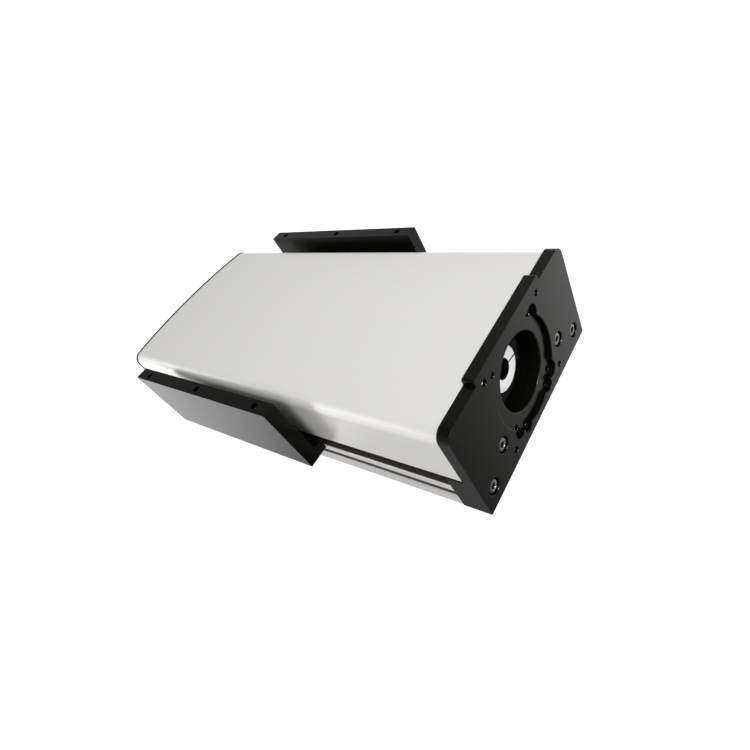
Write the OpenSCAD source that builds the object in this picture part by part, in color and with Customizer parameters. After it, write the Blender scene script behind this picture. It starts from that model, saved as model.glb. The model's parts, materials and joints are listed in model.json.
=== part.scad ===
// Covered ball screw linear module. X runs along the travel, the motor end is at +X, Z is up.
// Origin: middle of the length and width, on the mounting face. All sizes in millimetres.

/* [Travel] */
// Full travel of the carriage
stroke = 150; // [100:5:220]
// How far the carriage stands from its far stop as drawn
parked = 38; // [5:1:90]
// Room left between the saddle and a bumper at the end of travel
stop_gap = 1.5; // [1:0.5:4]

/* [End plates] */
// Width over the end plates
body_w = 152; // [150:0.5:158]
// Height of the end plates at their shoulders
shoulder_h = 76.5; // [75:0.5:82]
// Height of the raised middle of the motor plate
crest_h = 80.5; // [78:0.5:86]
// Width of the raised middle of the motor plate
crest_w = 84; // [70:1:110]
// Rounding of the upper corners of the plates
corner_r = 7.5; // [3:0.5:10]
// Thickness of the motor plate, front face to base profile
motor_plate_t = 20; // [18:1:30]
// Thickness of the motor plate in front of the cover
flange_t = 8; // [6:0.5:12]
// Thickness of the far plate
far_plate_t = 15; // [13:0.5:22]
// Thickness of the far plate behind the cover
far_lip_t = 1.5; // [1:0.5:4]

/* [Motor interface] */
// Height of the screw axis over the mounting face
axis_h = 40.5; // [39:0.5:44]
// Pilot bore for a motor spigot
pilot_d = 50; // [44:1:54]
// Length of the pilot's seat in the bore
pilot_l = 8; // [4:0.5:10]
// Relief of the bore behind the seat, on the radius
pilot_relief = 0.7; // [0.2:0.1:1]
// Round recess in the front face
recess_d = 70; // [64:1:72]
// Depth of the recess
recess_depth = 3; // [2:0.5:6]
// Pitch circle of the four motor bolts
bolt_pcd = 70; // [66:1:72]
// Tapping diameter of an M5 hole
m5_tap_d = 4.2; // [3.8:0.1:4.4]
// Depth of the motor bolt holes below the recess floor
bolt_depth = 12; // [8:1:14]
// Diameter of the pocket milled round each motor bolt hole
pocket_d = 12; // [9:0.5:13]
// Sideways offset of the two lower pockets
low_pocket_y = 16.5; // [12:0.5:20]
// Drop of the two lower pockets below the axis
low_pocket_drop = 31; // [28:0.5:32]
// Diameter of the two lower pockets
low_pocket_d = 9.5; // [8:0.5:10]
// Tapping diameter of an M4 hole
m4_tap_d = 3.3; // [3:0.1:3.5]
// Sideways spacing of the four adapter holes
adapter_w = 71; // [68:1:80]
// Upright spacing of the four adapter holes
adapter_h = 63; // [58:1:66]
// Depth of the adapter holes
adapter_depth = 10; // [6:1:12]

/* [Plate screws] */
// Sideways place of the inner plate screws
inner_screw_y = 43; // [41:0.5:45]
// Height of the inner plate screws
inner_screw_z = 25; // [22:0.5:25]
// Sideways place of the outer plate screws
outer_screw_y = 64; // [62:0.5:66]
// Height of the outer plate screws
outer_screw_z = 12.5; // [10:0.5:13]
// Thread diameter of an M5 screw
m5_d = 5; // [4.8:0.1:5.2]
// Head diameter of an M5 socket screw
m5_head_d = 8.5; // [8:0.1:9]
// Head height of an M5 socket screw
m5_head_h = 5; // [4.5:0.1:5.5]
// Hexagon socket of an M5 screw, across corners
m5_socket_d = 4.6; // [4:0.1:5]
// Counterbore diameter for an M5 head
m5_cbore_d = 10.6; // [9.6:0.1:11]
// How far a screw head sits below the surface
head_sink = 0.8; // [0.2:0.1:1.5]
// Thread engagement of the screws
thread_l = 12; // [8:1:16]

/* [Cover] */
// Width over the cover
cover_w = 151; // [149:0.5:151.5]
// Height of the crown of the cover
cover_h = 77.5; // [76.5:0.5:78]
// Radius of the gentle arch of the top
crown_r = 750; // [600:50:1200]
// Rounding between the top and the side walls
cover_corner_r = 8; // [5:0.5:12]
// Sheet thickness of the cover
cover_t = 2; // [1.2:0.1:2.5]
// Height of the lower edge of the side walls
cover_edge_z = 32; // [31:0.5:36]
// Clearance between the cover and the spigots of the end plates
seat_gap = 0.1; // [0.05:0.05:0.3]
// Gap under the lower edge of the cover at the end plates
edge_gap = 0.8; // [0.3:0.1:1.2]

/* [Base profile] */
// Width of the base profile
base_w = 151; // [149:0.5:151.5]
// Thickness of the floor between the ribs
floor_t = 10; // [8:0.5:12]
// Height of the side ledges
ledge_h = 21; // [20:0.5:22]
// Width of a rib under a rail
rib_w = 18; // [17:0.5:22]
// Height of the ribs
rib_h = 30; // [30:0.5:33]
// Bevel along the upper outer edges
base_bevel = 0.5; // [0.3:0.1:1.5]
// Height of the lower lip of the side groove
groove_z = 10.5; // [9:0.5:11.5]
// Opening of the side groove
groove_w = 5; // [3:0.1:5.5]
// Depth of the side groove
groove_depth = 5; // [3:0.5:6]
// How far the filler of the groove sits below the side of the base
filler_sink = 0.5; // [0.2:0.1:1]
// Wall thickness round the hollow chambers
chamber_wall = 4; // [3:0.5:6]
// Lengthwise spacing of the outer mounting holes
mount_span = 240; // [180:10:260]
// Lengthwise spacing of the inner mounting holes
mount_inner_span = 80; // [60:10:120]
// Tapping diameter of an M6 hole
m6_tap_d = 5; // [4.8:0.1:5.2]
// Depth of the mounting holes
mount_depth = 14; // [10:1:16]
// Width of a slot strip
strip_w = 8; // [5:0.5:10]
// Thickness of a slot strip
strip_t = 1; // [0.5:0.1:1.5]

/* [Guides] */
// Width of a rail
rail_w = 15; // [14:0.5:16]
// Height of a rail
rail_h = 15; // [14:0.5:16]
// Width of a guide block
block_w = 34; // [32:0.5:34.5]
// Height of rail and block together
guide_h = 28; // [27:0.5:29]
// Room under a guide block
block_gap = 4.3; // [3:0.1:5]
// Length of the steel body of a guide block
block_l = 39.4; // [36:0.2:42]
// Length of each end cap of a guide block
cap_l = 10; // [8:0.5:12]
// Running clearance between a block and its rail
guide_gap = 0.25; // [0.1:0.05:0.4]
// Distance between the two blocks on a rail
block_pitch = 76; // [70:1:78]
// Distance between rail screws
rail_pitch = 60; // [40:5:80]

/* [Carriage] */
// Length of the saddle
saddle_l = 140; // [138:1:160]
// Width over the skirts of the saddle
saddle_w = 143; // [141:0.5:144]
// Thickness of the saddle's top plate
saddle_t = 10; // [9:0.5:12]
// Thickness of the saddle's skirts
skirt_t = 10; // [9:0.5:10.5]
// Length of the notch that clears the bearing housing
notch_l = 62; // [60:1:68]
// Clearance of the notch beside the bearing housing
notch_gap = 2; // [1:0.5:4]
// Length of a wing
wing_l = 170; // [160:1:180]
// Thickness of a wing
wing_t = 10; // [8:0.5:12]
// Space between the cover's side and a wing
wing_gap = 8.5; // [4:0.5:15]
// Height of the mounting faces on the wings
wing_top = 80; // [78:0.5:90]
// Clearance over and under the foot of a wing in the side slot
slot_clear = 1; // [0.5:0.1:1.5]
// Clearance between the foot of a wing and the sides of the end plates
foot_gap = 1; // [0.5:0.1:2]
// Distance between the tapped holes on a wing
wing_pitch = 70; // [60:1:75]
// Depth of the tapped holes on a wing
wing_hole_depth = 15; // [10:1:20]
// Distance between the long wing bolts
wing_bolt_pitch = 100; // [80:1:120]

/* [Ball screw] */
// Diameter of the ball screw
screw_d = 16; // [14:0.5:18]
// Diameter of the bearing journals
journal_d = 12; // [10:0.5:12]
// Diameter of the tail that carries the coupling
tail_d = 10; // [8:0.5:10]
// Diameter of the nut body
nut_d = 28; // [26:0.5:30]
// Diameter of the nut flange
nut_flange_d = 48; // [46:0.5:48]
// Height over the flats of the nut flange
nut_flat_h = 40; // [38:0.5:42]
// Thickness of the nut flange
nut_flange_t = 10; // [8:0.5:12]
// Length of the nut body behind its flange
nut_body_l = 47; // [42:1:55]
// Distance of the nut bracket from the middle of the saddle, towards the far end
nut_offset = 25; // [20:1:30]
// Length of the nut bracket
bracket_l = 40; // [30:1:45]
// Width of the nut bracket
bracket_w = 48; // [46:0.5:49]
// Depth of the bracket below the axis
bracket_drop = 16.5; // [15.5:0.5:20]
// Running clearance of the screw in the nut
nut_gap = 0.08; // [0.02:0.02:0.1]

/* [Bearings] */
// Outer diameter of a bearing
bearing_d = 28; // [26:0.5:30]
// Width of a bearing
bearing_t = 8; // [7:0.5:9]
// Wall of a bearing ring
ring_t = 2.4; // [2:0.1:2.5]
// Balls in a bearing
ball_count = 10; // [8:1:11]
// Clearance of a ball beside its rings
ball_gap = 0.05; // [0.02:0.01:0.1]
// Wall behind the bearings
housing_wall = 5; // [4:0.5:8]
// Width of the bearing housing
housing_w = 50; // [48:0.5:51]
// Height of the top of the bearing housing
housing_top = 66; // [65:0.5:68]
// Width over the feet of the bearing housing
housing_foot_w = 66; // [64:0.5:67]
// Thickness of the feet of the bearing housing
housing_foot_t = 8; // [6:0.5:9]
// Diameter of the coupling chamber
chamber_d = 42; // [38:1:43]
// Thickness of the bearing retainer
retainer_t = 3; // [2:0.5:4]
// Outer diameter of the lock nut
locknut_d = 22; // [20:0.5:22.5]
// Thickness of the lock nut
locknut_t = 8; // [6:0.5:9]

/* [Coupling] */
// Diameter of the coupling
coupling_d = 30; // [26:1:32]
// Motor shaft diameter
shaft_d = 14; // [8:1:14]
// Length of each hub
hub_l = 10.5; // [8:0.5:12]
// Length of the jaws and of the spider between the hubs
jaw_l = 7.5; // [6:0.5:9]
// Distance of the coupling's face behind the front face
coupling_setback = 15.5; // [13:0.5:18]
// Width of the clamping slit of a hub
slit_w = 1.2; // [0.8:0.1:2]

/* [Bumpers] */
// Thickness of a bumper
bumper_t = 7; // [5:0.5:10]
// Diameter of a bumper
bumper_d = 9; // [6:0.5:9.5]
// Sideways place of the bumpers
bumper_y = 50; // [40:1:55]

/* [Hidden] */
$fn = 64;

// How far a cutting shape runs past the face it cuts
cut = 1;
// Radial clearance of a seat, and of an engaged thread
fit_gap = 0.02;
thread_gap = 0.05;
// Extra width of a screw's clearance hole
screw_clear = 0.5;
// Part of a screw head taken by its socket
socket_share = 0.6;

// M4 and M3 socket screws
m4_d = 4;
m4_head_d = 7;
m4_head_h = 4;
m4_socket_d = 3.4;
m3_d = 3;
m3_head_d = 5.5;
m3_head_h = 3;
m3_socket_d = 2.8;

// Places along the travel
base_l = stroke + saddle_l + 2 * bumper_t + 2 * stop_gap;
total_l = base_l + motor_plate_t + far_plate_t;
front_x = total_l / 2;
plate_back_x = front_x - motor_plate_t;
far_x = -total_l / 2;
far_inner_x = far_x + far_plate_t;
base_mid_x = (plate_back_x + far_inner_x) / 2;
cover_x = far_x + far_lip_t;
cover_l = front_x - flange_t - cover_x;
carriage_x = far_inner_x + bumper_t + stop_gap + saddle_l / 2 + parked;

// Arched outline of the cover
cover_corner_y = cover_w / 2 - cover_corner_r;
cover_corner_z = cover_h - crown_r + sqrt(pow(crown_r - cover_corner_r, 2) - pow(cover_corner_y, 2));
far_lip_proud = 0.5;
crest_corner_r = 1.5;

// Guides and saddle
guide_y = inner_screw_y;
guide_top = rib_h + guide_h;
saddle_top = guide_top + saddle_t;
wing_bottom = ledge_h + strip_t + slot_clear;
skirt_bottom = cover_edge_z - slot_clear;
foot_t = skirt_bottom - wing_bottom;
skirt_y = saddle_w / 2 - skirt_t / 2;
wing_span = cover_w + 2 * (wing_gap + wing_t);
rail_neck = 2;
rail_neck_low = 4.5;
rail_neck_high = 11.5;
rail_inset = 1;
rail_end_room = 25;
rail_count = floor((base_l - 2 * rail_end_room) / rail_pitch) + 1;
rail_bolts = [for (i = [0 : rail_count - 1]) base_mid_x + (i - (rail_count - 1) / 2) * rail_pitch];
rail_cbore_depth = 5.3;
block_bevel = 2;
block_screw_pitch = 26;
block_hole_depth = 6;
cap_inset = 0.6;
seal_t = 1.5;
nipple_d = 5;
nipple_l = 4;
bumper_z = guide_top + saddle_t / 2;

// Screw drive
coupling_x = front_x - coupling_setback;
coupling_l = 2 * hub_l + jaw_l;
screw_hub_x = coupling_x - coupling_l;
hub_gap = 1;
bearing_face_x = screw_hub_x - hub_gap - locknut_t;
bearing_back_x = bearing_face_x - 2 * bearing_t;
housing_x = bearing_back_x - housing_wall;
housing_l = plate_back_x - housing_x;
housing_bevel = 5;
housing_foot_screw_y = (housing_w + housing_foot_w) / 4;
housing_screw_inset = 12;
housing_screw_xs = [housing_x + housing_screw_inset, plate_back_x - housing_screw_inset];
housing_thread_l = 7;
small_head_d = 7.5;
screw_room = 1;
ball_r = (bearing_d - journal_d - 4 * ring_t) / 4 - ball_gap;
ball_ring_r = (bearing_d + journal_d) / 4;
retainer_bore_d = locknut_d + 2;
retainer_screw_r = (bearing_d + chamber_d) / 4;
bracket_x = carriage_x - nut_offset - bracket_l / 2;
bracket_screw_pitch = bracket_l / 2;
bracket_screw_y = (bracket_w - nut_d / 2) / 2;
nut_screw_depth = 7;
nut_screw_r = (nut_d + nut_flange_d) / 4;
nut_screw_angles = [-30, 0, 30, 150, 180, 210];
nut_pocket_l = nut_flange_t + m5_head_h + cut;
snap_t = 1;
snap_groove = 0.6;
snap_rise = 1.4;
journal_end = 1.4;
far_relief_d = 20;
far_wall = 3.5;
far_relief_l = far_plate_t - bearing_t - far_wall;
jaw_count = 3;
jaw_half = 22;
leg_half = 90 / jaw_count - jaw_half;
jaw_gap = 0.15;
jaw_inner_r = shaft_d / 2 + 1;
spider_bore_r = 4;
clamp_screw_r = (shaft_d / 2 + coupling_d / 2) / 2;
clamp_head_z = 6;
clamp_screw_l = 9;
slit_turn = 40;
land_w = 40;
land_relief = 1;
chamber_w = 7;
chamber_y = (inner_screw_y + outer_screw_y) / 2;

// Sweeps a section drawn in Y and Z along X
module along_x(x, l) {
    translate([x, 0, 0])
        rotate([90, 0, 90])
            linear_extrude(l)
                children();
}

// A round bar along X
module bar_x(x, l, d, y = 0, z = axis_h) {
    translate([x, y, z])
        rotate([0, 90, 0])
            cylinder(d = d, h = l);
}

// A pipe along X
module pipe_x(x, l, d, bore) {
    difference() {
        bar_x(x, l, d);
        bar_x(x - cut, l + 2 * cut, bore);
    }
}

// A socket head screw standing on its tip, with the top of its head at the origin
module cap_screw(d, head_d, head_h, socket_d, l) {
    difference() {
        union() {
            translate([0, 0, -head_h])
                cylinder(d = head_d, h = head_h);
            translate([0, 0, -head_h - l])
                cylinder(d = d - 2 * thread_gap, h = l + head_h / 2);
        }
        translate([0, 0, -head_h * socket_share])
            cylinder(d = socket_d, h = head_h, $fn = 6);
    }
}

module m5_screw(l) {
    cap_screw(m5_d, m5_head_d, m5_head_h, m5_socket_d, l);
}

module m4_screw(l) {
    cap_screw(m4_d, m4_head_d, m4_head_h, m4_socket_d, l);
}

module m3_screw(l) {
    cap_screw(m3_d, m3_head_d, m3_head_h, m3_socket_d, l);
}

// Section of the cover's outer face, or of a face set in from it
module crown_outline(inset) {
    touch_y = (crown_r - inset) * cover_corner_y / (crown_r - cover_corner_r);
    intersection() {
        translate([0, cover_h - crown_r])
            circle(r = crown_r - inset, $fn = 900);
        translate([-touch_y, 0])
            square([2 * touch_y, cover_h + cut]);
    }
    for (side = [-1, 1])
        translate([side * cover_corner_y, cover_corner_z])
            circle(r = cover_corner_r - inset);
    translate([-cover_w / 2 + inset, 0])
        square([cover_w - 2 * inset, cover_corner_z]);
}

// A plate with rounded upper corners
module rounded_top(w, h, r) {
    translate([-w / 2, 0])
        square([w, h - r]);
    translate([-w / 2 + r, 0])
        square([w - 2 * r, h]);
    for (side = [-1, 1])
        translate([side * (w / 2 - r), h - r])
            circle(r = r);
}

// Spigot that fills the end of the cover, with the full width below its edge
module cover_spigot(x, l) {
    along_x(x, l) {
        crown_outline(cover_t + seat_gap);
        translate([-body_w / 2, 0])
            square([body_w, cover_edge_z - edge_gap]);
    }
}

// Centres of the plate screws as Y and Z
plate_screw_spots = [for (side = [-1, 1]) for (spot = [[inner_screw_y, inner_screw_z],
    [outer_screw_y, outer_screw_z]]) [side * spot[0], spot[1]]];

module plate_screw_holes(x, l, d) {
    for (spot = plate_screw_spots)
        bar_x(x, l, d, spot[0], spot[1]);
}

module motor_end_plate() {
    bolt_r = bolt_pcd / 2;
    cbore_depth = head_sink + m5_head_h;
    color([0.07, 0.07, 0.075])
        difference() {
            union() {
                along_x(front_x - flange_t, flange_t) {
                    rounded_top(body_w, shoulder_h, corner_r);
                    rounded_top(crest_w, crest_h, crest_corner_r);
                }
                cover_spigot(plate_back_x, motor_plate_t - flange_t);
            }
            bar_x(plate_back_x - cut, motor_plate_t + 2 * cut, pilot_d);
            bar_x(plate_back_x - cut, motor_plate_t - recess_depth - pilot_l + cut,
                pilot_d + 2 * pilot_relief);
            bar_x(front_x - recess_depth, recess_depth + cut, recess_d);
            for (turn = [45 : 90 : 315]) {
                y = bolt_r * cos(turn);
                z = axis_h + bolt_r * sin(turn);
                bar_x(front_x - recess_depth, recess_depth + cut, pocket_d, y, z);
                bar_x(front_x - recess_depth - bolt_depth, bolt_depth + cut, m5_tap_d, y, z);
            }
            for (side = [-1, 1]) {
                y = side * low_pocket_y;
                z = axis_h - low_pocket_drop;
                bar_x(front_x - recess_depth, recess_depth + cut, low_pocket_d, y, z);
                bar_x(front_x - recess_depth - bolt_depth, bolt_depth + cut, m4_tap_d, y, z);
                for (rise = [-1, 1])
                    bar_x(front_x - adapter_depth, adapter_depth + cut, m5_tap_d,
                        side * adapter_w / 2, axis_h + rise * adapter_h / 2);
            }
            plate_screw_holes(front_x - cbore_depth, cbore_depth + cut, m5_cbore_d);
            plate_screw_holes(plate_back_x - cut, motor_plate_t, m5_d + screw_clear);
        }
}

module motor_plate_screws() {
    color([0.1, 0.1, 0.1])
        for (spot = plate_screw_spots)
            translate([front_x - head_sink, spot[0], spot[1]])
                rotate([0, 90, 0])
                    m5_screw(motor_plate_t - head_sink - m5_head_h + thread_l);
}

module far_end_plate() {
    cbore_depth = head_sink + m5_head_h;
    color([0.07, 0.07, 0.075])
        difference() {
            union() {
                along_x(far_x, far_lip_t) {
                    crown_outline(-far_lip_proud);
                    translate([-body_w / 2, 0])
                        square([body_w, cover_edge_z]);
                }
                cover_spigot(far_x + far_lip_t, far_plate_t - far_lip_t);
            }
            bar_x(far_inner_x - bearing_t, bearing_t + cut, bearing_d + 2 * fit_gap);
            bar_x(far_inner_x - bearing_t - far_relief_l, far_relief_l + cut, far_relief_d);
            plate_screw_holes(far_x - cut, cbore_depth + cut, m5_cbore_d);
            plate_screw_holes(far_x, far_plate_t + cut, m5_d + screw_clear);
        }
}

module far_plate_screws() {
    color([0.1, 0.1, 0.1])
        for (spot = plate_screw_spots)
            translate([far_x + head_sink, spot[0], spot[1]])
                rotate([0, -90, 0])
                    m5_screw(far_plate_t - head_sink - m5_head_h + thread_l);
}

module top_cover() {
    color([0.82, 0.82, 0.81])
        along_x(cover_x, cover_l)
            difference() {
                crown_outline(0);
                crown_outline(cover_t);
                translate([-cover_w / 2 - cut, -cut])
                    square([cover_w + 2 * cut, cover_edge_z + cut]);
            }
}

// Right half of the base's section
module base_half() {
    rib_in = guide_y - rib_w / 2;
    wall_y = base_w / 2;
    difference() {
        union() {
            square([wall_y, floor_t]);
            translate([rib_in, 0])
                square([wall_y - rib_in, ledge_h]);
            translate([rib_in, 0])
                square([rib_w, rib_h]);
        }
        polygon([[wall_y - base_bevel, ledge_h + cut], [wall_y - base_bevel, ledge_h],
            [wall_y, ledge_h - base_bevel], [wall_y + cut, ledge_h - base_bevel],
            [wall_y + cut, ledge_h + cut]]);
        translate([wall_y - groove_depth, groove_z])
            square([groove_depth + cut, groove_w]);
        translate([chamber_y - chamber_w / 2, chamber_wall])
            square([chamber_w, ledge_h - 2 * chamber_wall]);
        translate([-cut, -cut])
            square([wall_y - land_w + cut, land_relief + cut]);
    }
}

module base_profile() {
    color([0.78, 0.78, 0.77])
        difference() {
            along_x(far_inner_x, base_l) {
                base_half();
                mirror([1, 0])
                    base_half();
            }
            plate_screw_holes(plate_back_x - thread_l - cut, thread_l + 2 * cut, m5_d);
            plate_screw_holes(far_inner_x - cut, thread_l + 2 * cut, m5_d);
            for (side = [-1, 1]) {
                for (x = rail_bolts)
                    translate([x, side * guide_y, rib_h - thread_l])
                        cylinder(d = m4_d, h = thread_l + cut);
                for (span = [-mount_span, -mount_inner_span, mount_inner_span, mount_span])
                    translate([base_mid_x + span / 2, side * guide_y, -cut])
                        cylinder(d = m6_tap_d, h = mount_depth + cut);
                for (x = housing_screw_xs)
                    translate([x, side * housing_foot_screw_y, floor_t - housing_thread_l])
                        cylinder(d = m5_d, h = housing_thread_l + cut);
            }
        }
}

// A dark strip on a ledge, and the filler of the groove below it
module slot_strip(side) {
    strip_y = base_w / 2 - base_bevel - strip_w / 2;
    filler_w = groove_depth - filler_sink - seat_gap;
    filler_y = base_w / 2 - filler_sink - filler_w / 2;
    color([0.09, 0.085, 0.08]) {
        translate([far_inner_x, side * strip_y - strip_w / 2, ledge_h])
            cube([base_l, strip_w, strip_t]);
        translate([far_inner_x, side * filler_y - filler_w / 2, groove_z + seat_gap])
            cube([base_l, filler_w, groove_w - 2 * seat_gap]);
    }
}

// Section of a rail with its ball tracks, or of the channel that clears it
module rail_section(gap) {
    half = rail_w / 2 + gap;
    waist = half - rail_neck;
    right = [[half, 0], [half, rail_neck_low], [waist, rail_neck_low + rail_neck],
        [waist, rail_neck_high - rail_neck], [half, rail_neck_high], [half, rail_h + gap]];
    left = [for (i = [len(right) - 1 : -1 : 0]) [-right[i][0], right[i][1]]];
    polygon(concat(right, left));
}

module guide_rail(side) {
    color([0.72, 0.73, 0.74])
        difference() {
            translate([0, side * guide_y, rib_h])
                along_x(far_inner_x + rail_inset, base_l - 2 * rail_inset)
                    rail_section(0);
            for (x = rail_bolts)
                translate([x, side * guide_y, rib_h]) {
                    cylinder(d = m4_d + screw_clear, h = rail_h);
                    translate([0, 0, rail_h - rail_cbore_depth])
                        cylinder(d = m4_head_d + screw_clear, h = rail_h);
                }
        }
}

module rail_screws() {
    color([0.2, 0.2, 0.2])
        for (side = [-1, 1])
            for (x = rail_bolts)
                translate([x, side * guide_y, rib_h + rail_h - rail_cbore_depth + m4_head_h])
                    m4_screw(rail_h - rail_cbore_depth + thread_l - cut);
}

// Section of a guide block or of its end pieces
module block_section(inset) {
    half = block_w / 2 - inset;
    low = block_gap;
    high = guide_h - inset;
    difference() {
        polygon([[-half, low], [half, low], [half, high - block_bevel], [half - block_bevel, high],
            [-half + block_bevel, high], [-half, high - block_bevel]]);
        rail_section(guide_gap);
    }
}

// Middle of a guide block: end is -1 at the far end and 1 at the motor end
function block_x(end) = carriage_x + end * block_pitch / 2;

module block_screw_spots(end, side) {
    for (dx = [-1, 1])
        for (dy = [-1, 1])
            translate([block_x(end), side * guide_y, 0])
                translate([dx * block_screw_pitch / 2, dy * block_screw_pitch / 2, 0])
                    children();
}

module guide_block(end, side) {
    color([0.62, 0.63, 0.65])
        difference() {
            translate([0, side * guide_y, rib_h])
                along_x(block_x(end) - block_l / 2, block_l)
                    block_section(0);
            block_screw_spots(end, side)
                translate([0, 0, guide_top - block_hole_depth])
                    cylinder(d = m4_d, h = block_hole_depth + cut);
        }
}

module block_end_caps() {
    color([0.12, 0.3, 0.2])
        for (end = [-1, 1])
            for (side = [-1, 1])
                for (tip = [-1, 1])
                    translate([0, side * guide_y, rib_h])
                        along_x(block_x(end) + tip * (block_l + cap_l) / 2 - cap_l / 2, cap_l)
                            block_section(cap_inset);
}

module block_seals() {
    color([0.1, 0.1, 0.1])
        for (end = [-1, 1])
            for (side = [-1, 1])
                for (tip = [-1, 1])
                    translate([0, side * guide_y, rib_h])
                        along_x(block_x(end) + tip * (block_l / 2 + cap_l + seal_t / 2) - seal_t / 2, seal_t)
                            block_section(2 * cap_inset);
}

module grease_nipples() {
    x = block_l / 2 + cap_l + seal_t;
    color([0.75, 0.65, 0.35])
        for (end = [-1, 1])
            for (side = [-1, 1])
                translate([block_x(end) + end * x, side * guide_y, rib_h + (rail_h + guide_h) / 2])
                    rotate([0, end * 90, 0]) {
                        cylinder(d = nipple_d, h = nipple_l / 2);
                        cylinder(d = nipple_d / 2, h = nipple_l);
                    }
}

module wing_bolt_spots() {
    for (side = [-1, 1])
        for (end = [-1, 1])
            translate([carriage_x + end * wing_bolt_pitch / 2, side * skirt_y, 0])
                children();
}

module bracket_screw_spots() {
    for (end = [-1, 1])
        for (side = [-1, 1])
            translate([bracket_x + (bracket_l + end * bracket_screw_pitch) / 2,
                side * bracket_screw_y, 0])
                children();
}

module saddle() {
    half = saddle_w / 2;
    notch_w = housing_w + 2 * notch_gap;
    cbore_z = saddle_top - head_sink - m5_head_h;
    color([0.7, 0.7, 0.7])
        difference() {
            along_x(carriage_x - saddle_l / 2, saddle_l) {
                translate([-half, guide_top])
                    square([saddle_w, saddle_t]);
                for (y = [-half, half - skirt_t])
                    translate([y, skirt_bottom])
                        square([skirt_t, saddle_top - skirt_bottom]);
            }
            translate([carriage_x + saddle_l / 2 - notch_l, -notch_w / 2, guide_top - cut])
                cube([notch_l + cut, notch_w, saddle_t + 2 * cut]);
            translate([bracket_x - nut_pocket_l, -nut_flange_d / 2 - screw_clear, guide_top - cut])
                cube([nut_pocket_l, nut_flange_d + 2 * screw_clear,
                    axis_h + nut_flat_h / 2 + screw_clear - guide_top + cut]);
            for (end = [-1, 1])
                for (side = [-1, 1])
                    block_screw_spots(end, side) {
                        translate([0, 0, guide_top - cut])
                            cylinder(d = m4_d + screw_clear, h = saddle_t);
                        translate([0, 0, saddle_top - head_sink - m4_head_h])
                            cylinder(d = m4_head_d + screw_clear, h = saddle_t);
                    }
            wing_bolt_spots() {
                translate([0, 0, skirt_bottom - cut])
                    cylinder(d = m5_d + screw_clear, h = saddle_top);
                translate([0, 0, cbore_z])
                    cylinder(d = m5_head_d + screw_clear, h = saddle_t);
            }
            bracket_screw_spots() {
                translate([0, 0, guide_top - cut])
                    cylinder(d = m5_d + screw_clear, h = saddle_t);
                translate([0, 0, cbore_z])
                    cylinder(d = m5_head_d + screw_clear, h = saddle_t);
            }
        }
}

module block_screws() {
    color([0.2, 0.2, 0.2])
        for (end = [-1, 1])
            for (side = [-1, 1])
                block_screw_spots(end, side)
                    translate([0, 0, saddle_top - head_sink])
                        m4_screw(saddle_t - head_sink);
}

// Upright plate on a foot that narrows where it passes through the side slot
module wing(side) {
    foot_w = wing_span / 2 - body_w / 2 - foot_gap;
    tongue_w = wing_span / 2 - skirt_y + skirt_t / 2;
    color([0.07, 0.07, 0.075])
        difference() {
            union() {
                translate([carriage_x, side * (wing_span - wing_t) / 2, (wing_top + wing_bottom) / 2])
                    cube([wing_l, wing_t, wing_top - wing_bottom], center = true);
                translate([carriage_x, side * (wing_span - foot_w) / 2, wing_bottom + foot_t / 2])
                    cube([wing_l, foot_w, foot_t], center = true);
                translate([carriage_x, side * (wing_span - tongue_w) / 2, wing_bottom + foot_t / 2])
                    cube([saddle_l, tongue_w, foot_t], center = true);
            }
            for (x = [-wing_pitch, 0, wing_pitch])
                translate([carriage_x + x, side * (wing_span - wing_t) / 2, wing_top - wing_hole_depth])
                    cylinder(d = m6_tap_d, h = wing_hole_depth + cut);
            wing_bolt_spots()
                translate([0, 0, wing_bottom - cut])
                    cylinder(d = m5_d, h = foot_t + 2 * cut);
        }
}

module wing_bolts() {
    color([0.2, 0.2, 0.2])
        wing_bolt_spots()
            translate([0, 0, saddle_top - head_sink])
                m5_screw(saddle_top - head_sink - m5_head_h - wing_bottom - cut);
}

module nut_bracket() {
    low = axis_h - bracket_drop;
    half = bracket_w / 2;
    bevel = half / 3;
    color([0.7, 0.7, 0.7])
        difference() {
            along_x(bracket_x, bracket_l)
                polygon([[-half + bevel, low], [half - bevel, low], [half, low + bevel], [half, guide_top],
                    [-half, guide_top], [-half, low + bevel]]);
            bar_x(bracket_x - cut, bracket_l + 2 * cut, nut_d + 2 * fit_gap);
            for (turn = nut_screw_angles)
                bar_x(bracket_x - cut, nut_screw_depth + cut, m5_d, nut_screw_r * cos(turn),
                    axis_h + nut_screw_r * sin(turn));
            bracket_screw_spots()
                translate([0, 0, guide_top - thread_l])
                    cylinder(d = m5_d, h = thread_l + cut);
        }
}

module bracket_screws() {
    color([0.2, 0.2, 0.2])
        bracket_screw_spots()
            translate([0, 0, saddle_top - head_sink])
                m5_screw(saddle_t - head_sink - m5_head_h + thread_l - cut);
}

module ball_nut() {
    x = bracket_x - nut_flange_t;
    color([0.55, 0.56, 0.58])
        difference() {
            union() {
                bar_x(bracket_x, nut_body_l, nut_d);
                intersection() {
                    bar_x(x, nut_flange_t, nut_flange_d);
                    translate([x, -nut_flange_d / 2, axis_h - nut_flat_h / 2])
                        cube([nut_flange_t, nut_flange_d, nut_flat_h]);
                }
            }
            bar_x(x - cut, nut_flange_t + nut_body_l + 2 * cut, screw_d + 2 * nut_gap);
            for (turn = nut_screw_angles)
                bar_x(x - cut, nut_flange_t + 2 * cut, m5_d + screw_clear, nut_screw_r * cos(turn),
                    axis_h + nut_screw_r * sin(turn));
        }
}

module nut_screws() {
    color([0.2, 0.2, 0.2])
        for (turn = nut_screw_angles)
            translate([bracket_x - nut_flange_t - m5_head_h, nut_screw_r * cos(turn),
                axis_h + nut_screw_r * sin(turn)])
                rotate([0, -90, 0])
                    m5_screw(nut_flange_t + nut_screw_depth - cut);
}

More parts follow.
